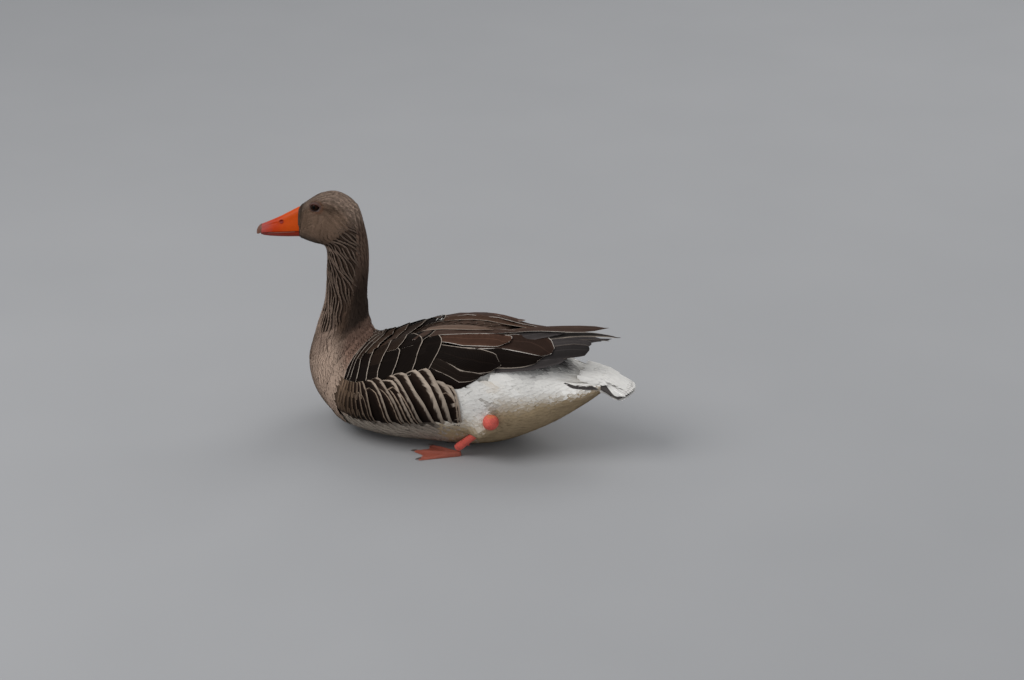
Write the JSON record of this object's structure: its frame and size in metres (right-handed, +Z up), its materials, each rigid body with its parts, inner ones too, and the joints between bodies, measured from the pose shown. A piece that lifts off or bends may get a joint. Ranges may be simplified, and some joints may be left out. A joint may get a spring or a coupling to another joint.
{
  "type": "domestic goose",
  "caption": "Life-size still model of a grey domestic goose resting on its belly, neck upright, head turned a little to its left and wings folded.",
  "frame": {"origin": "on the floor, at the centre of the bounding box's bottom face, under the belly", "axes": "+Z up; the bird faces -X; -Y is its left side"},
  "size_m": [0.5663, 0.21, 0.3594],
  "materials": {
    "grey_brown_feather": "soft grey-brown body feathers",
    "dark_feather": "dark brown wing feathers with pale fringes",
    "white_feather": "soft white feathers of the vent and tail",
    "orange_bill": "satin horn, orange turning pink towards the tip",
    "pale_nail": "satin horn, pale",
    "coral_skin": "scaly coral-red skin",
    "dark_eye": "wet and glossy"
  },
  "bodies": {
    "root": {"bill_lower": "orange_bill", "bill_nail": "pale_nail", "bill_upper": "orange_bill", "breast": "grey_brown_feather", "eye_left": "dark_eye", "eye_right": "dark_eye", "foot_left": "coral_skin", "foot_right": "coral_skin", "head": "grey_brown_feather", "leg_left": "coral_skin", "leg_right": "coral_skin", "neck": "grey_brown_feather", "neck_base": "grey_brown_feather", "primaries_left": "dark_feather", "primaries_right": "dark_feather", "tail": "white_feather", "tertials_left": "dark_feather", "tertials_right": "dark_feather", "trunk": "grey_brown_feather", "vent": "white_feather", "wing_left": "dark_feather", "wing_right": "dark_feather"}
  },
  "joints": []
}
